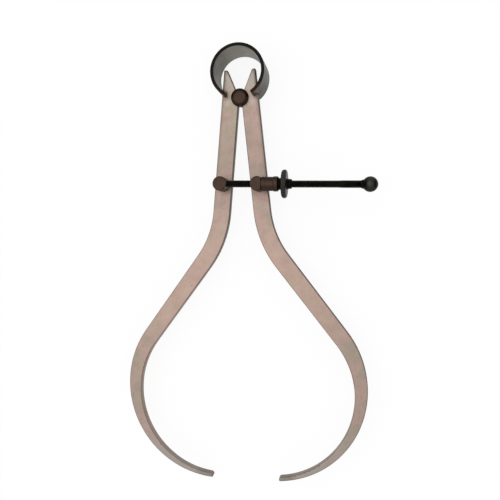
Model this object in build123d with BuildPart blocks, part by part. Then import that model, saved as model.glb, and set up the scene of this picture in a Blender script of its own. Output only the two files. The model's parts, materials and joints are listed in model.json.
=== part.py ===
from build123d import *
from math import asin, atan2, cos, degrees, hypot, radians, sin, sqrt
import os

# Outside caliper, lying on its back. X runs to the right across the legs, Y up towards the bow spring
# and Z towards the viewer. The origin is on the fulcrum's axis, at the back face of its stud.

# Legs, in the right leg's own frame: X away from the other leg, Y up along the shank.
# The bend, diagonal and bow are the inner edge's. The outer edge follows beside it, and ends in a toe
leg_thickness = 3.2
shank_gap_half = 0.49
shank_width = 6.86
half_opening_angle = 5.42
shank_length = 46.0
bend_radius = 43.2
bend_tightening = 1.25
diagonal_angle = 31.97
diagonal_taper_angle = 0.76
diagonal_length = 38.5
bow_lead = 0.1
bow_radius = 33.3
tip_width = 1.57
toe_length = 1.2
level_angle = 90
toe_round = 0.5
contact_round = 0.9
leg_edge_round = 0.45
horn_height = 10.7
horn_tip_width = 1.35
horn_fork_height = 0.1
horn_round = 0.2

# Fulcrum stud and its washer
barrel_radius = 2.4
running_clearance = 0.05
end_float = 0.05
stud_head_radius = 3.55
stud_head_height = 2.0
stud_head_round = 1.6
fulcrum_washer_radius = 2.9
fulcrum_washer_thickness = 1.5
fulcrum_washer_chamfer = 0.3
stud_tenon_radius = 1.3
press_clearance = 0.01

# Bow spring
spring_outer_radius = 10.8
spring_thickness = 1.3
spring_width = 14.0
spring_centre_height = 9.35
spring_left_end_angle = 32.5
spring_right_end_angle = 31.0
spring_slot_clearance = 0.12
spring_bite = 0.4
spring_notch_clearance = 0.28
prong_front_round = 0.7
prong_back_round = 2.4
spring_edge_round = 0.15

# Swivel posts, in the same frame as the legs
anchor_post_drop = 35.1
guide_post_drop = 35.58
post_offset = 4.05
post_radius = 2.8
post_top_chamfer = 0.3
post_top_above_screw = 2.4
post_tenon_radius = 1.6
post_washer_radius = 2.7
post_washer_thickness = 0.7
post_washer_chamfer = 0.15
rivet_head_radius = 2.1
rivet_head_height = 0.4
rivet_head_chamfer = 0.2
guide_flat_distance = 1.4
guide_clearance = 0.15
guide_side_play = 0.03

# Adjusting screw, its ball and its pin
screw_radius = 1.42
screw_height_above_legs = 4.6
screw_reach = 57.7
screw_seat_depth = 1.8
screw_neck_radius = 0.9
screw_end_chamfer = 0.25
ball_radius = 2.95
ball_neck_radius = 1.85
ball_neck_length = 3.55
ball_bore_depth = 2.6
anchor_pin_radius = 0.45
anchor_pin_depth = 4.3

# Thrust collar and adjusting nut
collar_length = 6.95
collar_radius = 2.75
collar_rim_radius = 2.95
collar_rim_length = 2.2
collar_chamfer = 0.25
collar_end_chamfer = 0.5
nut_boss_length = 1.1
nut_boss_radius = 2.3
nut_radius = 5.5
nut_flange_thickness = 2.0
nut_rim_round = 0.85
nut_hub_length = 1.85
nut_hub_base_radius = 2.15
nut_hub_end_radius = 1.8
knurl_count = 40
knurl_depth = 0.28
cut_overrun = 1.0

# Heights that the pieces share
leg_back = fulcrum_washer_thickness + end_float
leg_front = leg_back + leg_thickness
leg_middle = (leg_back + leg_front) / 2
screw_height = leg_front + screw_height_above_legs
post_top = screw_height + post_top_above_screw

# Each leg's plane is turned out by half of the opening between the legs
turn = radians(half_opening_angle)
shank_outer = shank_gap_half + shank_width


def leg_plane(side):
    """Return the back plane of a leg, on the left (-1) or the right (1)."""
    return Plane(origin=(0, 0, leg_back), x_dir=(cos(turn), side * sin(turn), 0), z_dir=(0, 0, 1))


def post_place(side, drop):
    """Return where a post's axis stands, on the left (-1) or the right (1) leg."""
    reach = hypot(post_offset, drop)
    angle = turn + atan2(post_offset, drop)
    return (side * reach * sin(angle), -reach * cos(angle))


# The guide post stands a little lower than the anchor post, so the screw leans
anchor_x, anchor_y = post_place(-1, anchor_post_drop)
guide_x, guide_y = post_place(1, guide_post_drop)
post_distance = hypot(guide_x - anchor_x, guide_y - anchor_y)
slope = atan2(guide_y - anchor_y, guide_x - anchor_x) - asin(guide_side_play / post_distance)
along_screw = (cos(slope), sin(slope), 0)
across_screw = (sin(slope), -cos(slope), 0)

# The spring's band meets each leg's outer edge at its seat
spring_inner_radius = spring_outer_radius - spring_thickness
spring_middle_radius = spring_outer_radius - spring_thickness / 2
spring_back = leg_middle - spring_width / 2
seat_run = shank_outer - spring_centre_height * sin(turn)
seat_rise = sqrt(spring_middle_radius ** 2 - seat_run ** 2)
seat_drop_angle = half_opening_angle + degrees(asin(seat_run / spring_middle_radius))
seat_local_height = spring_centre_height * cos(turn) - seat_rise
bite_angle = degrees(spring_bite / spring_middle_radius)

# The outer edge's bend is a little tighter and its bow starts sooner, and its drop leaves the tip's width
outer_bend_radius = bend_radius - shank_width - bend_tightening
outer_diagonal_angle = diagonal_angle - diagonal_taper_angle
outer_diagonal_length = diagonal_length - bow_lead


def edge_drop(bend, angle, length):
    """Return how far the start of an edge's bow lies below the end of its shank."""
    return bend * sin(radians(angle)) + length * cos(radians(angle))


def bow_drop_share(angle):
    """Return how far a bow drops, as a share of its radius, until it runs level."""
    return sin(radians(level_angle)) + sin(radians(angle))


tip_drop = edge_drop(bend_radius, diagonal_angle, diagonal_length)
tip_drop += bow_radius * bow_drop_share(diagonal_angle) + tip_width
outer_bow_drop = tip_drop - edge_drop(outer_bend_radius, outer_diagonal_angle, outer_diagonal_length)
outer_bow_radius = outer_bow_drop / bow_drop_share(outer_diagonal_angle)


def leg_side(offset, bend, angle, length, bow):
    """Draw one edge of a leg, from the end of its shank to its tip, and return the tip's end."""
    bend_arc = JernArc((offset, -shank_length), (0, -1), bend, angle)
    diagonal = Line(bend_arc @ 1, bend_arc @ 1 + (bend_arc % 1) * length)
    bow_arc = JernArc(diagonal @ 1, diagonal % 1, bow, -(angle + level_angle))
    return bow_arc @ 1


# Leg blank, on the right: horn above the fulcrum, straight shank, bend, diagonal and bow
with BuildPart() as leg_blank:
    with BuildSketch(leg_plane(1)) as leg_outline:
        with BuildLine():
            tip_outer = leg_side(
                shank_outer, outer_bend_radius, outer_diagonal_angle,
                outer_diagonal_length, outer_bow_radius,
            )
            tip_inner = leg_side(
                shank_gap_half, bend_radius, diagonal_angle, diagonal_length, bow_radius,
            )
            toe = Line(tip_outer, tip_outer - (toe_length, 0))
            Line(toe @ 1, tip_inner)
            Polyline(
                (shank_outer, -shank_length),
                (shank_outer, horn_height),
                (shank_outer - horn_tip_width, horn_height),
                (shank_gap_half, horn_fork_height),
                (shank_gap_half, -shank_length),
            )
        make_face()
        fillet(leg_outline.vertices().group_by(Axis.Y)[-1], horn_round)
        fillet(leg_outline.vertices().sort_by_distance(toe @ 1)[0], toe_round)
        fillet(leg_outline.vertices().sort_by_distance(tip_inner)[0], contact_round)
    extrude(amount=leg_thickness)
    leg_rims = leg_blank.edges().group_by(Axis.Z)
    fillet(leg_rims[0] + leg_rims[-1], leg_edge_round)
    with BuildSketch(leg_plane(1)):
        Circle(barrel_radius + running_clearance)
        with Locations((shank_outer, seat_local_height)):
            Circle(hypot(spring_bite, spring_thickness / 2) + spring_notch_clearance)
    extrude(amount=leg_thickness, mode=Mode.SUBTRACT)

# Right leg: the blank with its hole for the guide post
with BuildPart() as right_leg:
    add(leg_blank.part)
    with BuildSketch(leg_plane(1)):
        with Locations((post_offset, -guide_post_drop)):
            Circle(post_tenon_radius + running_clearance)
    extrude(amount=leg_thickness, mode=Mode.SUBTRACT)
right_leg.part.label = "right_leg"

# Left leg: the blank's mirror image, with its hole for the anchor post
with BuildPart() as left_leg:
    mirror(leg_blank.part, about=Plane.YZ)
    with BuildSketch(leg_plane(-1)):
        with Locations((-post_offset, -anchor_post_drop)):
            Circle(post_tenon_radius + running_clearance)
    extrude(amount=leg_thickness, mode=Mode.SUBTRACT)
left_leg.part.label = "left_leg"


# Bow spring: an open band whose forked ends straddle the legs
spring_centre = (0, spring_centre_height)
spring_end_start = -level_angle + spring_right_end_angle
spring_end_sweep = 2 * 180 - spring_right_end_angle - spring_left_end_angle
slot_half = leg_thickness / 2 + spring_slot_clearance


def ring_sector(inner_radius, outer_radius, start, sweep):
    """Draw the closed outline of a piece of a ring round the spring's centre."""
    outer = CenterArc(spring_centre, outer_radius, start, sweep)
    inner = CenterArc(spring_centre, inner_radius, start, sweep)
    Line(outer @ 0, inner @ 0)
    Line(outer @ 1, inner @ 1)


with BuildPart() as bow_spring:
    with BuildSketch(Plane.XY.offset(spring_back)):
        with BuildLine():
            ring_sector(spring_inner_radius, spring_outer_radius, spring_end_start, spring_end_sweep)
        make_face()
    extrude(amount=spring_width)
    prong_corners = bow_spring.edges().filter_by(GeomType.LINE) - bow_spring.edges().filter_by(Axis.Z)
    back_corners, front_corners = prong_corners.group_by(Axis.Z)
    fillet(back_corners, prong_back_round)
    fillet(front_corners, prong_front_round)
    band_rims = bow_spring.edges().group_by(Axis.Z)
    fillet((band_rims[0] + band_rims[-1]).filter_by(GeomType.CIRCLE), spring_edge_round)
    with BuildSketch(Plane.XY.offset(leg_middle - slot_half)):
        with BuildLine():
            ring_sector(
                spring_inner_radius - cut_overrun, spring_outer_radius + cut_overrun,
                -level_angle - (seat_drop_angle - bite_angle), 2 * (seat_drop_angle - bite_angle),
            )
        make_face()
    extrude(amount=2 * slot_half, mode=Mode.SUBTRACT)
bow_spring.part.label = "bow_spring"


def turned(start, direction, outline):
    """Turn a solid on a lathe axis from its outline of (run along the axis, radius) points."""
    with BuildPart() as blank:
        with BuildSketch(Plane(origin=start, x_dir=direction, z_dir=across_screw)):
            with BuildLine():
                Polyline(*outline, close=True)
            make_face()
        revolve(axis=Axis(start, direction))
    return blank.part


# Fulcrum stud: a barrel in the legs' half-round seats, with a head in front and a tenon behind
barrel_back = leg_back - end_float
head_back = leg_front + end_float
head_front = head_back + stud_head_height
fulcrum = (0, 0, 0)
upwards = (0, 0, 1)
with BuildPart() as fulcrum_stud:
    add(turned(fulcrum, upwards, [
        (0, 0),
        (0, stud_tenon_radius),
        (barrel_back, stud_tenon_radius),
        (barrel_back, barrel_radius),
        (head_back, barrel_radius),
        (head_back, stud_head_radius),
        (head_front, stud_head_radius),
        (head_front, 0),
    ]))
    fillet(fulcrum_stud.edges().group_by(Axis.Z)[-1], stud_head_round)
fulcrum_stud.part.label = "fulcrum_stud"

# Fulcrum washer: the rear flange that the stud's tenon is riveted into
with BuildPart() as fulcrum_washer:
    add(turned(fulcrum, upwards, [
        (0, stud_tenon_radius + press_clearance),
        (0, fulcrum_washer_radius - fulcrum_washer_chamfer),
        (fulcrum_washer_chamfer, fulcrum_washer_radius),
        (fulcrum_washer_thickness, fulcrum_washer_radius),
        (fulcrum_washer_thickness, stud_tenon_radius + press_clearance),
    ]))
fulcrum_washer.part.label = "fulcrum_washer"

# Swivel posts: a head in front of the leg, a tenon through it, and a rivet head behind its washer
post_washer_front = leg_back - end_float
post_washer_back = post_washer_front - post_washer_thickness
rivet_back = post_washer_back - rivet_head_height
post_bottom = leg_front + end_float
guide_bore_radius = screw_radius + guide_clearance
anchor_bore_radius = screw_radius + press_clearance


def post_plane(x, y, height):
    """Return the plane square to a post's axis at a height, with its X along the screw."""
    return Plane(origin=(x, y, height), x_dir=along_screw, z_dir=upwards)


def screw_plane(x, y, run):
    """Return the plane square to the screw, at a distance along it from a post's axis."""
    origin = (x + run * cos(slope), y + run * sin(slope), screw_height)
    return Plane(origin=origin, x_dir=across_screw, z_dir=along_screw)


def swivel_post(x, y):
    """Build a post: its head, its tenon through the leg and its rivet head behind the washer."""
    return turned((x, y, 0), upwards, [
        (rivet_back, 0),
        (rivet_back, rivet_head_radius - rivet_head_chamfer),
        (rivet_back + rivet_head_chamfer, rivet_head_radius),
        (post_washer_back, rivet_head_radius),
        (post_washer_back, post_tenon_radius),
        (post_bottom, post_tenon_radius),
        (post_bottom, post_radius),
        (post_top - post_top_chamfer, post_radius),
        (post_top, post_radius - post_top_chamfer),
        (post_top, 0),
    ])


def post_washer(x, y):
    """Build the washer between a leg and its post's rivet head."""
    return turned((x, y, 0), upwards, [
        (post_washer_back, post_tenon_radius + press_clearance),
        (post_washer_back, post_washer_radius - post_washer_chamfer),
        (post_washer_back + post_washer_chamfer, post_washer_radius),
        (post_washer_front, post_washer_radius),
        (post_washer_front, post_tenon_radius + press_clearance),
    ])


# Anchor post: the screw's fixed end is seated and pinned in it
with BuildPart() as anchor_post:
    add(swivel_post(anchor_x, anchor_y))
    with BuildSketch(screw_plane(anchor_x, anchor_y, -screw_seat_depth)):
        Circle(anchor_bore_radius)
    extrude(amount=screw_seat_depth + post_radius + cut_overrun, mode=Mode.SUBTRACT)
    with BuildSketch(post_plane(anchor_x, anchor_y, post_top)):
        Circle(anchor_pin_radius + press_clearance)
    extrude(amount=-anchor_pin_depth, mode=Mode.SUBTRACT)
anchor_post.part.label = "anchor_post"

with BuildPart() as anchor_washer:
    add(post_washer(anchor_x, anchor_y))
anchor_washer.part.label = "anchor_washer"

# Anchor pin: it locks the screw in the anchor post
with BuildPart() as anchor_pin:
    with BuildSketch(post_plane(anchor_x, anchor_y, post_top)):
        Circle(anchor_pin_radius)
    extrude(amount=-anchor_pin_depth)
anchor_pin.part.label = "anchor_pin"

# Guide post: the screw slides through it, and the thrust collar bears on its flat
flat_bottom = screw_height - collar_rim_radius - running_clearance
with BuildPart() as guide_post:
    add(swivel_post(guide_x, guide_y))
    with BuildSketch(post_plane(guide_x, guide_y, flat_bottom)):
        with Locations((guide_flat_distance, 0)):
            Rectangle(2 * post_radius, 2 * post_radius, align=(Align.MIN, Align.CENTER))
    extrude(amount=post_top - flat_bottom, mode=Mode.SUBTRACT)
    with BuildSketch(screw_plane(guide_x, guide_y, -post_radius - cut_overrun)):
        Circle(guide_bore_radius)
    extrude(amount=2 * (post_radius + cut_overrun), mode=Mode.SUBTRACT)
guide_post.part.label = "guide_post"

with BuildPart() as guide_washer:
    add(post_washer(guide_x, guide_y))
guide_washer.part.label = "guide_washer"


screw_start = (anchor_x, anchor_y, screw_height)
guide_start = (guide_x, guide_y, screw_height)

# Adjusting screw: a rod with a thin spigot for the ball
ball_run = screw_reach
neck_run = ball_run - ball_neck_length
spigot_run = neck_run + ball_bore_depth
with BuildPart() as adjusting_screw:
    add(turned(screw_start, along_screw, [
        (-screw_seat_depth, 0),
        (-screw_seat_depth, screw_radius - screw_end_chamfer),
        (screw_end_chamfer - screw_seat_depth, screw_radius),
        (neck_run, screw_radius),
        (neck_run, screw_neck_radius),
        (spigot_run, screw_neck_radius),
        (spigot_run, 0),
    ]))
    with BuildSketch(post_plane(anchor_x, anchor_y, post_top)):
        Circle(anchor_pin_radius + press_clearance)
    extrude(amount=-anchor_pin_depth, mode=Mode.SUBTRACT)
adjusting_screw.part.label = "adjusting_screw"

# Screw ball: a turned ball with a short cone down to the rod
cone_end = ball_run - sqrt(ball_radius ** 2 - ball_neck_radius ** 2)
with BuildPart() as screw_ball:
    with BuildSketch(screw_plane(anchor_x, anchor_y, neck_run)):
        Circle(screw_radius)
    with BuildSketch(screw_plane(anchor_x, anchor_y, cone_end)):
        Circle(ball_neck_radius)
    loft()
    with Locations(screw_plane(anchor_x, anchor_y, ball_run)):
        Sphere(ball_radius)
    with BuildSketch(screw_plane(anchor_x, anchor_y, neck_run)):
        Circle(screw_neck_radius + press_clearance)
    extrude(amount=ball_bore_depth + press_clearance, mode=Mode.SUBTRACT)
screw_ball.part.label = "screw_ball"

# Thrust collar: a sleeve with a rim at its nut end
collar_run = guide_flat_distance + end_float
collar_end = collar_run + collar_length
rim_run = collar_end - collar_rim_length
with BuildPart() as thrust_collar:
    add(turned(guide_start, along_screw, [
        (collar_run, guide_bore_radius),
        (collar_run, collar_radius - collar_chamfer),
        (collar_run + collar_chamfer, collar_radius),
        (rim_run, collar_radius),
        (rim_run + collar_rim_radius - collar_radius, collar_rim_radius),
        (collar_end - collar_end_chamfer, collar_rim_radius),
        (collar_end, collar_rim_radius - collar_end_chamfer),
        (collar_end, guide_bore_radius),
    ]))
thrust_collar.part.label = "thrust_collar"

# Adjusting nut: a boss against the collar, a knurled flange with a round rim, and a tapered hub
nut_run = collar_end + end_float
flange_run = nut_run + nut_boss_length
flange_end = flange_run + nut_flange_thickness
with BuildPart() as adjusting_nut:
    add(turned(guide_start, along_screw, [
        (nut_run, guide_bore_radius),
        (nut_run, nut_boss_radius),
        (flange_run, nut_boss_radius),
        (flange_run, nut_radius),
        (flange_end, nut_radius),
        (flange_end, nut_hub_base_radius),
        (flange_end + nut_hub_length, nut_hub_end_radius),
        (flange_end + nut_hub_length, guide_bore_radius),
    ]))
    nut_rims = adjusting_nut.edges().filter_by(GeomType.CIRCLE).group_by(SortBy.RADIUS)[-1]
    fillet(nut_rims, nut_rim_round)
    with BuildSketch(screw_plane(guide_x, guide_y, flange_run)):
        with PolarLocations(nut_radius, knurl_count):
            Circle(knurl_depth)
    extrude(amount=nut_flange_thickness, mode=Mode.SUBTRACT)
adjusting_nut.part.label = "adjusting_nut"

os.makedirs("parts", exist_ok=True)
pieces = (
    left_leg, right_leg, bow_spring, fulcrum_stud, fulcrum_washer,
    anchor_post, anchor_washer, anchor_pin, adjusting_screw, screw_ball,
    guide_post, guide_washer, thrust_collar, adjusting_nut,
)
for piece in pieces:
    export_step(piece.part, f"parts/{piece.part.label}.step")
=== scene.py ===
import json
from math import cos, floor, pi, radians, sin

import bpy
from mathutils import Euler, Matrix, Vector


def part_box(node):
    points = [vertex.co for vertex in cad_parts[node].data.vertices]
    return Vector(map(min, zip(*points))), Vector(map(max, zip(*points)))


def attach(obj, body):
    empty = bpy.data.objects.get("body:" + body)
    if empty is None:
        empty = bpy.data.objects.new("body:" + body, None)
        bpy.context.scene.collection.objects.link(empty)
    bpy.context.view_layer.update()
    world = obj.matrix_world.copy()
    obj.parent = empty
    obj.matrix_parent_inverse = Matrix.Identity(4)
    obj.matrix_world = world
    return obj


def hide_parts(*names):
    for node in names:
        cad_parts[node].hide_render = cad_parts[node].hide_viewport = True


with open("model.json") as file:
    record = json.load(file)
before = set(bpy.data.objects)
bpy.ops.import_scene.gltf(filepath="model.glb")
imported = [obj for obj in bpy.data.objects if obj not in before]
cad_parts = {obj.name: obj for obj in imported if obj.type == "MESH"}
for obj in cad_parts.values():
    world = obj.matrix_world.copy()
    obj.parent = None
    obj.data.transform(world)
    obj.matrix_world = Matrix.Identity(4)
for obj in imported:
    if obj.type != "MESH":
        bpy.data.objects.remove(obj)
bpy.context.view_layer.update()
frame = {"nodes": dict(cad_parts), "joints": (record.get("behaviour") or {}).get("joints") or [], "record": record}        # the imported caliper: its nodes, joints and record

mm = 0.001

# Camera, fitted to the legs' outline in the photograph: millimetres, pixels and degrees
image_width = 500
sensor_width = 36
pixels_per_mm = 2.46486
camera_distance = 223.9
aim_x = 2.609
aim_y = -60.895
camera_turns = (0.948, -10.395, 0.645)
nearest_view = 10

# Light, and the floor under the caliper: metres, watts, and levels of which 1 is white
dome_light = 0.82
zenith_level = 0.62
band_level = 0.6
horizon_level = 0.95
dome_height_shares = (0.12, 0.4, 0.7, 0.95)
lamp_power = 3.4
lamp_size = 1.3
lamp_place = (-0.32, 0.1, 1.0)
floor_size = 6.0
floor_gap = 0.03 * mm
floor_albedo = 0.8
floor_shadow_share = 0.1
floor_light = 1.0

# Legs, in millimetres and degrees: half of the opening, each stretch's lean, and the outer edges
half_opening_angle = 5.42
diagonal_angle = 31.6
outward_angle = 20.0
shank_length = 46.0
shank_outer_edge = 7.35
bow_top = -96.5
bow_outer_radius = 37.55

# Heights along the legs at which a colour starts and is full, and for some also fades and ends
handled_heights = (-10, -18, -30, -44)
flushed_heights = (-46, -60, -84, -102)
grey_bow_heights = (-128, -148)
pale_horn_heights = (1.5, 5.5)
dark_horn_heights = (8.5, 11)
# The next three rows set painted shade: on the shank's outer border, on the horn's bevel and on the inner
# side
shank_border_shade_heights = (-44, -38)
horn_bevel_shade_heights = (1.5, 3)
inner_side_shade_heights = (-55, -95)
toe_top = -140

# Where a colour starts and is full: in from a leg's outer edge, and out from the line between the legs
# The insets set painted shade on the shank's outer border and on the horn's bevel
shank_border_shade_insets = (1.45, 0.25)
horn_bevel_shade_insets = (1.15, 0.45)
toe_distances = (21, 18.3)

# Painted shade at the notch, and wear with painted light by the stud: where each lies, out and up, is
# full and ends
notch_spot = (6.1, 1.9)
notch_shade_reach = (0.5, 1.7)
rubbed_and_lit_spot = (4.8, -1.3)
rubbed_and_lit_reach = (0.6, 2.4)

# Stud's head: the middle of its lit face, and where that face and the ring of painted shade round it end
stud_lit_spot = (0.35, -0.75)
stud_lit_face_reach = (1.9, 3)
stud_shade_ring_reach = (5, 6)

# Distances from the screw's axis at which the painted highlight on the crowns of the ball and the nut,
# and the nut, start and are full
crown_highlight_reach = (2.4, 2.9)
nut_reach = (3, 3.6)

# Bow spring: heights, and distances to the side for painted shade, at which a colour starts and is full,
# and the depths under its outer face between which the look of that face, with its painted shade, ends
spring_lower_heights = (16, 8)
spring_side_shade_distances = (3, 8)
spring_end_face_heights = (5, 2.5)
spring_end_edge_heights = (5, 2)
spring_middle_depths = (0.8, 0.5)

# Noise: the size of its lumps, its detail and its roughness
leg_patch_noise = (7, 2, 0.45)
leg_cloud_noise = (5, 4, 0.6)
leg_pit_noise = (0.9, 2, 0.5)
oxide_patch_noise = (1.6, 4, 0.5)
oxide_fleck_noise = (0.5, 3, 0.5)
black_patch_noise = (2.5, 3, 0.5)
black_fleck_noise = (0.6, 3, 0.5)
spring_patch_noise = (4, 3, 0.5)
grain_noise = (1.5, 4, 0.6)

# Levels of the noise at which what it draws starts and is full
leg_patch_levels = (0.42, 0.6)
leg_cloud_levels = (0.5, 0.72)
leg_pit_levels = (0.66, 0.74)
leg_grain_levels = (0.35, 0.7)
dark_patch_levels = (0.35, 0.65)
oxide_fleck_levels = (0.56, 0.75)
black_fleck_levels = (0.6, 0.75)
spring_grain_levels = (0.4, 0.7)
roughness_levels = (0.3, 0.7)

# Roughness at the low and the high level of the noise
leg_roughness = (0.4, 0.52)
oxide_roughness = (0.36, 0.5)
black_roughness = (0.33, 0.46)
spring_roughness = (0.38, 0.5)

# Depths of the small hills
leg_grain_depth = 0.015
oxide_fleck_depth = 0.012
black_fleck_depth = 0.01
spring_grain_depth = 0.01

# Factors that draw the grain thin across a piece, and long along or round it. The place that the
# noise is read at is multiplied by them, round the spring in radians.
grain_across_factor = 9
leg_grain_along_factor = 0.4
spring_grain_round_factor = 2

# How squarely a surface faces the front or the back where a look starts and is full: painted shade and
# highlight
leg_face_facing = (0.6, 0.99)
oxide_face_facing = (0.75, 0.97)
crown_highlight_facing = (0.5, 0.95)
spring_edge_facing = (0.3, 0.8)

# Colours of the legs. A coat is a share, by which it turns the colour under it, and its own colour.
beige_steel = (0.422, 0.354, 0.276)
pink_steel = (0.503, 0.350, 0.306)
cloud_coat = (0.7, (0.385, 0.330, 0.290))
handled_coat = (0.45, (0.380, 0.285, 0.240))
flushed_coat = (0.7, (0.550, 0.385, 0.325))
grey_bow_coat = (0.8, (0.450, 0.400, 0.362))
pale_horn_coat = (0.8, (0.515, 0.450, 0.410))
dark_horn_coat = (0.75, (0.180, 0.162, 0.145))
# Painted shade on the shank's outer border and on the horn's bevel
border_shade_coat = (0.5, (0.225, 0.175, 0.145))
bevel_shade_coat = (0.8, (0.205, 0.185, 0.165))
# Painted shade round the notch where the spring's end sits
notch_shade_coat = (1, (0.075, 0.040, 0.026))
# Rubbed wear with painted light beside the stud, which lifts the stud's shadow
rubbed_and_lit_coat = (0.8, (0.610, 0.510, 0.445))
toe_coat = (0.4, (0.135, 0.130, 0.110))
leg_grain_coat = (0.3, (0.330, 0.268, 0.222))
pit_coat = (0.55, (0.21, 0.165, 0.13))
# Painted shade on the legs' sides: its colour, and how much of it lies on the outer and the inner side
leg_side_shade = (0.066, 0.052, 0.044)
outer_side_shade_share = 1
inner_side_shade_shares = (0.95, 0.5)

# Colours of the oxide on the stud, posts, pin, collar and washers
oxide_dark = (0.060, 0.037, 0.027)
oxide_light = (0.080, 0.052, 0.039)
oxide_fleck_coat = (0.4, (0.112, 0.087, 0.072))
# Painted shade in a ring round the stud's lit face
stud_ring_shade_coat = (0.75, (0.024, 0.016, 0.011))
# Painted shade on the walls
oxide_wall_shade_coat = (0.5, (0.028, 0.021, 0.016))

# Colours of the screw, its ball and its nut
black_dark = (0.004, 0.0037, 0.003)
black_light = (0.010, 0.0092, 0.0078)
black_fleck_coat = (0.2, (0.050, 0.047, 0.041))
nut_coat = (0.8, (0.011, 0.0105, 0.0085))
# Painted highlight on the crowns of the ball and the nut
crown_highlight_coat = (0.95, (0.062, 0.060, 0.054))

# Colours of the bow spring
spring_dark = (0.165, 0.157, 0.124)
spring_light = (0.205, 0.187, 0.154)
spring_lower_coat = (0.8, (0.098, 0.092, 0.076))
# Painted shade towards the spring's sides
spring_side_shade_coat = (0.9, (0.086, 0.078, 0.062))
# Painted shade on the spring's outer face
spring_outside_shade_coat = (0.75, (0.050, 0.045, 0.036))
spring_end_face_coat = (0.8, (0.050, 0.030, 0.022))
spring_grain_coat = (0.35, (0.100, 0.092, 0.074))
# Edges nearly black against paler faces: painted shade on the edges, painted reflection on the faces
spring_edge = (0.014, 0.013, 0.012)
spring_end_edge_coat = (0.9, (0.034, 0.016, 0.009))

# Adjusting screw, from the anchor post's axis, and its thread
screw_seat_depth = 1.8
screw_neck_run = 54.15
spigot_radius = 0.9
spigot_length = 2.6
rod_end_chamfer = 0.25
plain_shank_length = 7.0
thread_start_run = 2.0
thread_pitch = 25.4 / 48
thread_depth = 0.14
thread_flat_share = 0.18
thread_fade_turns = 2
samples_per_pitch = 8
rod_segments = 24


def add_node(tree, kind, inputs=None, **settings):
    """Add a shader node. An input is a plain value or another node's output."""
    node = tree.nodes.new(kind)
    for name, value in settings.items():
        setattr(node, name, value)
    for key, value in (inputs or {}).items():
        if isinstance(value, bpy.types.NodeSocket):
            tree.links.new(value, node.inputs[key])
        else:
            node.inputs[key].default_value = value
    return node


def maths(tree, operation, *values):
    """Add a maths node and return its output."""
    return add_node(tree, "ShaderNodeMath", dict(enumerate(values)), operation=operation).outputs[0]


def vector_maths(tree, operation, *vectors):
    """Add a vector maths node and return its outputs."""
    return add_node(tree, "ShaderNodeVectorMath", dict(enumerate(vectors)), operation=operation).outputs


def split(tree, vector):
    """Return a vector's three parts, which are named X, Y and Z."""
    return add_node(tree, "ShaderNodeSeparateXYZ", {"Vector": vector}).outputs


def join(tree, x, y, z=0.0):
    """Return the vector that has these three parts."""
    return add_node(tree, "ShaderNodeCombineXYZ", {"X": x, "Y": y, "Z": z}).outputs["Vector"]


def remap(tree, value, low, high, to_low=0.0, to_high=1.0):
    """Return a value stretched from one range to another, held at the ends."""
    inputs = {"Value": value, "From Min": low, "From Max": high, "To Min": to_low, "To Max": to_high}
    return add_node(tree, "ShaderNodeMapRange", inputs).outputs["Result"]


def both(tree, first, second):
    """Return 1 where two shares are both 1, and 0 where either is 0."""
    return maths(tree, "MULTIPLY", first, second)


def band(tree, value, start, full, fade, end):
    """Return 1 where a value lies between full and fade, falling to 0 at start and at end."""
    return both(tree, remap(tree, value, start, full), remap(tree, value, end, fade))


def switch(tree, value, level, below, above):
    """Return one value where a test value is below a level, and another above it."""
    over = maths(tree, "GREATER_THAN", value, level)
    change = maths(tree, "MULTIPLY", maths(tree, "SUBTRACT", above, below), over)
    return maths(tree, "ADD", below, change)


def mix_colour(tree, share, first, second):
    """Return the first colour turned into the second by a share."""
    node = add_node(tree, "ShaderNodeMix", data_type="RGBA")
    for index, value in ((0, share), (6, first), (7, second)):
        if isinstance(value, bpy.types.NodeSocket):
            tree.links.new(value, node.inputs[index])
        elif index == 0:
            node.inputs[index].default_value = value
        else:
            node.inputs[index].default_value = (*value, 1)
    return node.outputs[2]


def coat(tree, colour, where, share, coat_colour):
    """Turn a colour into a coat's by the coat's share where it lies, and not where it doesn't."""
    return mix_colour(tree, maths(tree, "MULTIPLY", where, share), colour, coat_colour)


def place_in_mm(tree):
    """Return the point's place on the piece, in millimetres."""
    place = add_node(tree, "ShaderNodeTexCoord").outputs["Object"]
    return add_node(tree, "ShaderNodeMapping", {"Vector": place, "Scale": [1 / mm] * 3}).outputs["Vector"]


def surface_normal(tree):
    """Return the three parts of the direction that the surface faces."""
    return split(tree, add_node(tree, "ShaderNodeTexCoord").outputs["Normal"])


def facing(tree, axis):
    """Return how squarely the surface faces an axis of its piece, from 0 to 1."""
    return maths(tree, "ABSOLUTE", surface_normal(tree)[axis])


def near_spot(tree, first, second, spot, near, far):
    """Return how close two coordinates come to a spot: 1 within near, 0 past far."""
    distance = vector_maths(tree, "DISTANCE", join(tree, first, second), (*spot, 0))["Value"]
    return remap(tree, distance, near, far, 1, 0)


def noise(tree, place, size, detail, roughness):
    """Return cloudy noise whose lumps are about one size across, in the place's units."""
    inputs = {"Vector": place, "Scale": 1 / size, "Detail": detail, "Roughness": roughness}
    return add_node(tree, "ShaderNodeTexNoise", inputs).outputs["Fac"]


def fine_grain(tree, x, y, z):
    """Return the noise of fine grain at a place whose parts were squeezed or stretched."""
    return noise(tree, join(tree, x, y, z), *grain_noise)


def new_metal(name):
    """Make a metal material and return it with its node tree and its surface shader."""
    material = bpy.data.materials.new(name)
    material.use_nodes = True
    tree = material.node_tree
    shader = tree.nodes["Principled BSDF"]
    shader.inputs["Metallic"].default_value = 1
    return material, tree, shader


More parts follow.
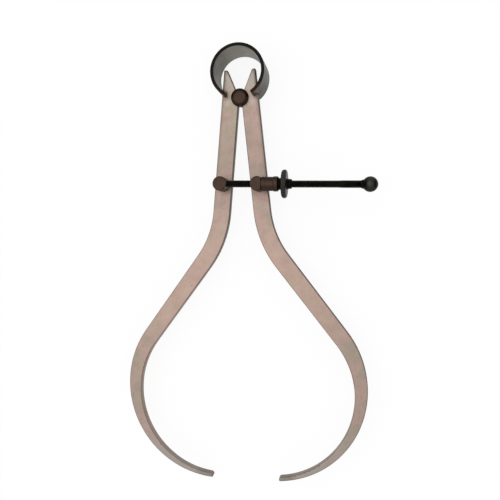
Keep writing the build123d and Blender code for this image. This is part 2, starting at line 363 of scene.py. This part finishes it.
def finish_metal(tree, shader, colour, patches, roughness, height, depth):
    """Give a metal its colour, a patchy roughness and small hills of a depth in millimetres."""
    inputs = {"Height": height, "Strength": 1, "Distance": depth * mm}
    hills = add_node(tree, "ShaderNodeBump", inputs).outputs["Normal"]
    tree.links.new(colour, shader.inputs["Base Color"])
    tree.links.new(remap(tree, patches, *roughness_levels, *roughness), shader.inputs["Roughness"])
    tree.links.new(hills, shader.inputs["Normal"])


def leg_places(tree, place):
    """Return how far out and how high a point lies, and its two offsets from the centre of its bow."""
    parts = split(tree, place)
    out = maths(tree, "ABSOLUTE", parts["X"])
    low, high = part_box("right_leg")
    from_x = maths(tree, "SUBTRACT", out, high.x / mm - bow_outer_radius)
    from_y = maths(tree, "SUBTRACT", parts["Y"], low.y / mm + bow_outer_radius)
    return out, parts["Y"], from_x, from_y


def across_leg(tree, place):
    """Return how far across a leg a point lies: straight over shank and diagonal, round over the bow."""
    out, up, from_x, from_y = leg_places(tree, place)
    straights = []
    for lean in (half_opening_angle, half_opening_angle + diagonal_angle):
        sideways = maths(tree, "MULTIPLY", out, cos(radians(lean)))
        straights.append(maths(tree, "MULTIPLY_ADD", up, sin(radians(lean)), sideways))
    squares = maths(tree, "MULTIPLY_ADD", from_y, from_y, maths(tree, "MULTIPLY", from_x, from_x))
    lower = switch(tree, up, bow_top, maths(tree, "SQRT", squares), straights[1])
    return switch(tree, up, -shank_length, lower, straights[0])


def outwards(tree, place):
    """Return how much the surface faces away from the space between the legs, from -1 to 1."""
    out, up, from_x, from_y = leg_places(tree, place)
    side = maths(tree, "SIGN", split(tree, place)["X"])
    normal = surface_normal(tree)
    across = maths(tree, "MULTIPLY", normal["X"], side)
    to_x = switch(tree, up, bow_top, from_x, cos(radians(outward_angle)) * bow_outer_radius)
    to_y = switch(tree, up, bow_top, from_y, sin(radians(outward_angle)) * bow_outer_radius)
    product = maths(tree, "MULTIPLY_ADD", normal["Y"], to_y, maths(tree, "MULTIPLY", across, to_x))
    return maths(tree, "DIVIDE", product, bow_outer_radius)


def colour_by_height(tree, colour, up):
    """Colour a leg by height: browner shank, pinker diagonal, greyer bow, pale horn with a dark end."""
    colour = coat(tree, colour, band(tree, up, *handled_heights), *handled_coat)
    colour = coat(tree, colour, band(tree, up, *flushed_heights), *flushed_coat)
    colour = coat(tree, colour, remap(tree, up, *grey_bow_heights), *grey_bow_coat)
    colour = coat(tree, colour, remap(tree, up, *pale_horn_heights), *pale_horn_coat)
    return coat(tree, colour, remap(tree, up, *dark_horn_heights), *dark_horn_coat)


def add_shade_and_wear(tree, colour, place, across):
    """Paint shade on a leg's outer borders, its horn bevel and its notch, darken its toe, and brighten it
    beside the stud with wear and painted light.
    """
    out, up = leg_places(tree, place)[:2]
    inset = maths(tree, "SUBTRACT", shank_outer_edge, across)
    # Painted shade along the shank's outer border and the horn's bevel
    border_shade = both(tree, remap(tree, inset, *shank_border_shade_insets), remap(tree, up, *shank_border_shade_heights))
    colour = coat(tree, colour, border_shade, *border_shade_coat)
    bevel_shade = both(tree, remap(tree, inset, *horn_bevel_shade_insets), remap(tree, up, *horn_bevel_shade_heights))
    colour = coat(tree, colour, bevel_shade, *bevel_shade_coat)
    # Painted shade round the notch where the spring's end sits
    notch_shade = near_spot(tree, out, up, notch_spot, *notch_shade_reach)
    colour = coat(tree, colour, notch_shade, *notch_shade_coat)
    # Rubbed wear with painted light beside the stud, which lifts the stud's shadow
    rubbed_and_lit = near_spot(tree, out, up, rubbed_and_lit_spot, *rubbed_and_lit_reach)
    colour = coat(tree, colour, rubbed_and_lit, *rubbed_and_lit_coat)
    toe = switch(tree, up, toe_top, remap(tree, out, *toe_distances), 0)
    return coat(tree, colour, toe, *toe_coat)


def paint_side_shade(tree, colour, place, up):
    """Paint shade on a leg's sides: all of the outer one, and the inner one less and less down the leg.
    """
    # Painted shade: the sides darker than the faces
    inner_share = remap(tree, up, *inner_side_shade_heights, *inner_side_shade_shares)
    share = switch(tree, outwards(tree, place), 0, inner_share, outer_side_shade_share)
    side = mix_colour(tree, share, colour, leg_side_shade)
    return mix_colour(tree, remap(tree, facing(tree, "Z"), *leg_face_facing), side, colour)


def leg_steel():
    """Ground steel gone warm with age: pink and beige patches, grain along the legs, painted shade on the
    sides, borders and notch, and painted light by the stud.
    """
    material, tree, shader = new_metal("leg_steel")
    place = place_in_mm(tree)
    across = across_leg(tree, place)
    parts = split(tree, place)
    up = parts["Y"]
    patches = noise(tree, place, *leg_patch_noise)
    colour = mix_colour(tree, remap(tree, patches, *leg_patch_levels), beige_steel, pink_steel)
    clouds = noise(tree, place, *leg_cloud_noise)
    colour = coat(tree, colour, remap(tree, clouds, *leg_cloud_levels), *cloud_coat)
    colour = colour_by_height(tree, colour, up)
    # Painted shade and painted light, with wear
    colour = add_shade_and_wear(tree, colour, place, across)
    squeezed = maths(tree, "MULTIPLY", across, grain_across_factor)
    stretched = maths(tree, "MULTIPLY", up, leg_grain_along_factor)
    grain = fine_grain(tree, squeezed, stretched, parts["Z"])
    colour = coat(tree, colour, remap(tree, grain, *leg_grain_levels), *leg_grain_coat)
    pits = noise(tree, place, *leg_pit_noise)
    colour = coat(tree, colour, remap(tree, pits, *leg_pit_levels), *pit_coat)
    # Painted shade on the sides
    colour = paint_side_shade(tree, colour, place, up)
    finish_metal(tree, shader, colour, clouds, leg_roughness, grain, leg_grain_depth)
    return material


def oxide_steel():
    """Brown-black oxide on turned steel, with painted shade on its walls and in a ring round the stud's
    lit face.
    """
    material, tree, shader = new_metal("oxide_steel")
    place = place_in_mm(tree)
    patches = noise(tree, place, *oxide_patch_noise)
    colour = mix_colour(tree, remap(tree, patches, *dark_patch_levels), oxide_dark, oxide_light)
    flecks = noise(tree, place, *oxide_fleck_noise)
    colour = coat(tree, colour, remap(tree, flecks, *oxide_fleck_levels), *oxide_fleck_coat)
    parts = split(tree, place)
    # Painted shade in a ring round the stud's lit face, which sits a little low
    on_face = near_spot(tree, parts["X"], parts["Y"], stud_lit_spot, *stud_lit_face_reach)
    on_stud = near_spot(tree, parts["X"], parts["Y"], stud_lit_spot, *stud_shade_ring_reach)
    colour = coat(tree, colour, maths(tree, "SUBTRACT", on_stud, on_face), *stud_ring_shade_coat)
    # Painted shade on the walls, which face away from the front
    shaded_wall = coat(tree, colour, 1, *oxide_wall_shade_coat)
    colour = mix_colour(tree, remap(tree, facing(tree, "Z"), *oxide_face_facing), shaded_wall, colour)
    finish_metal(tree, shader, colour, patches, oxide_roughness, flecks, oxide_fleck_depth)
    return material


def joint_named(name):
    """Return a joint's place and axis."""
    joint = next(joint for joint in frame["joints"] if joint["name"] == name)
    return Vector(joint["pos_m"]), Vector(joint["axis"]).normalized()


def off_screw(tree, place):
    """Return how far a point lies from the screw's axis."""
    start, along = joint_named("nut_turn")
    shift = vector_maths(tree, "SUBTRACT", place, start / mm)["Vector"]
    square = vector_maths(tree, "CROSS_PRODUCT", shift, along)["Vector"]
    return vector_maths(tree, "LENGTH", square)["Value"]


def black_steel():
    """Black oxide, a little oily, with a painted highlight on the crowns of the ball and the nut."""
    material, tree, shader = new_metal("black_screw_steel")
    place = place_in_mm(tree)
    patches = noise(tree, place, *black_patch_noise)
    colour = mix_colour(tree, remap(tree, patches, *dark_patch_levels), black_dark, black_light)
    flecks = noise(tree, place, *black_fleck_noise)
    colour = coat(tree, colour, remap(tree, flecks, *black_fleck_levels), *black_fleck_coat)
    off_axis = off_screw(tree, place)
    colour = coat(tree, colour, remap(tree, off_axis, *nut_reach), *nut_coat)
    # Painted highlight on the crowns of the ball and the nut
    level = remap(tree, facing(tree, "Z"), *crown_highlight_facing)
    crown_highlight = both(tree, remap(tree, off_axis, *crown_highlight_reach), level)
    colour = coat(tree, colour, crown_highlight, *crown_highlight_coat)
    finish_metal(tree, shader, colour, patches, black_roughness, flecks, black_fleck_depth)
    return material


def outside_spring(tree, across, up):
    """Return 1 on the outer face of the bow spring, and 0 on its inner face."""
    low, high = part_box("bow_spring")
    outer_radius = (high.x - low.x) / 2 / mm
    centre = (0, high.y / mm - outer_radius)
    near, far = [outer_radius - depth for depth in spring_middle_depths]
    return maths(tree, "SUBTRACT", 1, near_spot(tree, across, up, centre, near, far))


def spring_steel():
    """Dark tempered band: olive grey on its faces and nearly black on its edges, in part painted
    reflection and shade, with painted shade on its sides and outer face, and browner at its ends.
    """
    material, tree, shader = new_metal("blued_spring_steel")
    place = place_in_mm(tree)
    parts = split(tree, place)
    across, up = parts["X"], parts["Y"]
    patches = noise(tree, place, *spring_patch_noise)
    face = mix_colour(tree, remap(tree, patches, *dark_patch_levels), spring_dark, spring_light)
    face = coat(tree, face, remap(tree, up, *spring_lower_heights), *spring_lower_coat)
    to_side = maths(tree, "ABSOLUTE", across)
    # Painted shade towards the sides
    face = coat(tree, face, remap(tree, to_side, *spring_side_shade_distances), *spring_side_shade_coat)
    # Painted shade on the outer face
    face = coat(tree, face, outside_spring(tree, across, up), *spring_outside_shade_coat)
    face = coat(tree, face, remap(tree, up, *spring_end_face_heights), *spring_end_face_coat)
    stretched = maths(tree, "MULTIPLY", maths(tree, "ARCTAN2", across, up), spring_grain_round_factor)
    squeezed = maths(tree, "MULTIPLY", parts["Z"], grain_across_factor)
    grain = fine_grain(tree, stretched, 0, squeezed)
    face = coat(tree, face, remap(tree, grain, *spring_grain_levels), *spring_grain_coat)
    edge = coat(tree, spring_edge, remap(tree, up, *spring_end_edge_heights), *spring_end_edge_coat)
    # Painted reflection and shade: faces paler, edges nearly black, by which way they face
    colour = mix_colour(tree, remap(tree, facing(tree, "Z"), *spring_edge_facing), face, edge)
    finish_metal(tree, shader, colour, patches, spring_roughness, grain, spring_grain_depth)
    return material


materials = {
    "leg_steel": leg_steel(),
    "blued_spring_steel": spring_steel(),
    "oxide_steel": oxide_steel(),
    "black_screw_steel": black_steel(),
}
for subpart in frame["record"]["subparts"]:
    node = frame["nodes"][subpart["node"]]
    node.data.materials[0] = materials[subpart["material_slot"]]


def mesh_piece(name, points, faces, material):
    """Make a smooth-shaded piece from points in metres and faces of their numbers."""
    mesh = bpy.data.meshes.new(name)
    mesh.from_pydata(points, [], faces)
    mesh.polygons.foreach_set("use_smooth", [True] * len(mesh.polygons))
    mesh.materials.append(material)
    mesh.update()
    piece = bpy.data.objects.new(name, mesh)
    bpy.context.scene.collection.objects.link(piece)
    return piece


def thread_height(run, share_of_turn):
    """Return how far up its flank the thread is, from 0 at the root to 1 at the crest."""
    phase = run / thread_pitch - share_of_turn
    rise = abs(2 * (phase - floor(phase)) - 1)
    return min(1, max(0, (rise - thread_flat_share) / (1 - 2 * thread_flat_share)))


def screw_rings(radius):
    """List the screw's rings along its axis, each as its run, its radius and its thread's depth."""
    rings = [(-screw_seat_depth, radius - rod_end_chamfer, 0)]
    rings.append((rod_end_chamfer - screw_seat_depth, radius, 0))
    length = screw_neck_run - plain_shank_length - thread_start_run
    steps = round(length / thread_pitch * samples_per_pitch)
    fade_steps = thread_fade_turns * samples_per_pitch
    for step in range(steps + 1):
        depth = thread_depth * min(1, step / fade_steps, (steps - step) / fade_steps)
        rings.append((thread_start_run + length * step / steps, radius, depth))
    rings.append((screw_neck_run, radius, 0))
    rings.append((screw_neck_run, spigot_radius, 0))
    rings.append((screw_neck_run + spigot_length, spigot_radius, 0))
    return rings


def screw_points(rings, start, along):
    """List the points of the rings, each with the thread's depth at its place in the turn."""
    upwards = Vector((0, 0, 1))
    sideways = along.cross(upwards)
    points = []
    for run, ring_radius, depth in rings:
        for segment in range(rod_segments):
            share = segment / rod_segments
            reach = ring_radius - depth * (1 - thread_height(run, share))
            angle = 2 * pi * share
            offset = along * run + (sideways * cos(angle) + upwards * sin(angle)) * reach
            points.append(start + offset * mm)
    return points


def rod_faces(ring_count):
    """List the faces that join a rod's rings, with a flat face at each end."""
    faces = []
    for ring in range(ring_count - 1):
        for segment in range(rod_segments):
            near = ring * rod_segments
            far = near + rod_segments
            following = (segment + 1) % rod_segments
            faces.append((near + segment, near + following, far + following, far + segment))
    faces.append(tuple(reversed(range(rod_segments))))
    faces.append(tuple(range((ring_count - 1) * rod_segments, ring_count * rod_segments)))
    return faces


def threaded_screw():
    """Build the adjusting screw: a chamfered seat, a long thread, a plain shank and a spigot."""
    low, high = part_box("adjusting_screw")
    start = joint_named("anchor_swivel")[0]
    start.z = (low.z + high.z) / 2
    rings = screw_rings((high.z - low.z) / 2 / mm)
    points = screw_points(rings, start, joint_named("nut_turn")[1])
    piece = mesh_piece("threaded_screw", points, rod_faces(len(rings)), materials["black_screw_steel"])
    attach(piece, "screw")
    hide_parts("adjusting_screw")


threaded_screw()


def seen_rays(tree):
    """Return 1 for what the camera sees, also by way of metal or glass, and 0 for light."""
    path = add_node(tree, "ShaderNodeLightPath").outputs
    seen = maths(tree, "MAXIMUM", path["Is Camera Ray"], path["Is Glossy Ray"])
    return maths(tree, "MAXIMUM", seen, path["Is Transmission Ray"])


def floor_white():
    """White that keeps the caliper's shadow, and is clear when seen from below."""
    material = bpy.data.materials.new("floor_white")
    material.use_nodes = True
    tree = material.node_tree
    tree.nodes.clear()
    seen = seen_rays(tree)
    matt = remap(tree, seen, 0, 1, floor_albedo, floor_shadow_share)
    glow = remap(tree, seen, 0, 1, 0, 1 - floor_shadow_share * floor_light)
    diffuse = add_node(tree, "ShaderNodeBsdfDiffuse", {"Color": matt})
    emission = add_node(tree, "ShaderNodeEmission", {"Strength": glow})
    white = add_node(tree, "ShaderNodeAddShader", {0: diffuse.outputs[0], 1: emission.outputs[0]})
    clear = add_node(tree, "ShaderNodeBsdfTransparent")
    below = add_node(tree, "ShaderNodeNewGeometry").outputs["Backfacing"]
    sheet = add_node(tree, "ShaderNodeMixShader", {0: below, 1: white.outputs[0], 2: clear.outputs[0]})
    add_node(tree, "ShaderNodeOutputMaterial", {"Surface": sheet.outputs[0]})
    return material


def make_floor():
    """Lay the floor just behind the back edge of the bow spring."""
    bpy.ops.mesh.primitive_plane_add(size=floor_size)
    plane = bpy.context.object
    plane.name = "floor"
    plane.location = (0, 0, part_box("bow_spring")[0].z - floor_gap)
    plane.data.materials.append(floor_white())


def make_world():
    """Make a pale dome: even as light, and seen as nearly white low down and grey further up."""
    world = bpy.data.worlds.new("dome")
    bpy.context.scene.world = world
    world.use_nodes = True
    tree = world.node_tree
    tree.nodes.clear()
    height = split(tree, add_node(tree, "ShaderNodeTexCoord").outputs["Generated"])["Z"]
    ramp = add_node(tree, "ShaderNodeValToRGB", {"Fac": height})
    stops = ramp.color_ramp.elements
    levels = (horizon_level, band_level, band_level, zenith_level)
    for index, (share, level) in enumerate(zip(dome_height_shares, levels)):
        stop = stops[index] if index < len(stops) else stops.new(share)
        stop.position = share
        stop.color = (level, level, level, 1)
    colour = mix_colour(tree, seen_rays(tree), [dome_light] * 3, ramp.outputs["Color"])
    background = add_node(tree, "ShaderNodeBackground", {"Color": colour})
    add_node(tree, "ShaderNodeOutputWorld", {"Surface": background.outputs[0]})


def make_lamp():
    """Hang one large soft lamp above the caliper, up and to the left."""
    data = bpy.data.lights.new("softbox", "AREA")
    data.shape = "SQUARE"
    data.size = lamp_size
    data.energy = lamp_power
    lamp = bpy.data.objects.new("softbox", data)
    bpy.context.scene.collection.objects.link(lamp)
    lamp.location = lamp_place
    aim = Vector((aim_x * mm, aim_y * mm, 0))
    lamp.rotation_euler = (aim - lamp.location).to_track_quat("-Z", "Y").to_euler()


def make_camera():
    """Set the camera above the caliper, at the photograph's distance and angle."""
    data = bpy.data.cameras.new("camera")
    data.sensor_width = sensor_width
    data.lens = pixels_per_mm * camera_distance / image_width * sensor_width
    data.clip_start = nearest_view * mm
    camera = bpy.data.objects.new("camera", data)
    bpy.context.scene.collection.objects.link(camera)
    turn = Euler([radians(angle) for angle in camera_turns]).to_matrix().transposed()
    aim = Vector((aim_x * mm, aim_y * mm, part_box("right_leg")[0].z))
    camera.location = aim + turn @ Vector((0, 0, camera_distance * mm))
    camera.rotation_euler = turn.to_euler()
    bpy.context.scene.camera = camera


make_floor()
make_world()
make_lamp()
make_camera()
bpy.context.scene.view_settings.view_transform = "Standard"
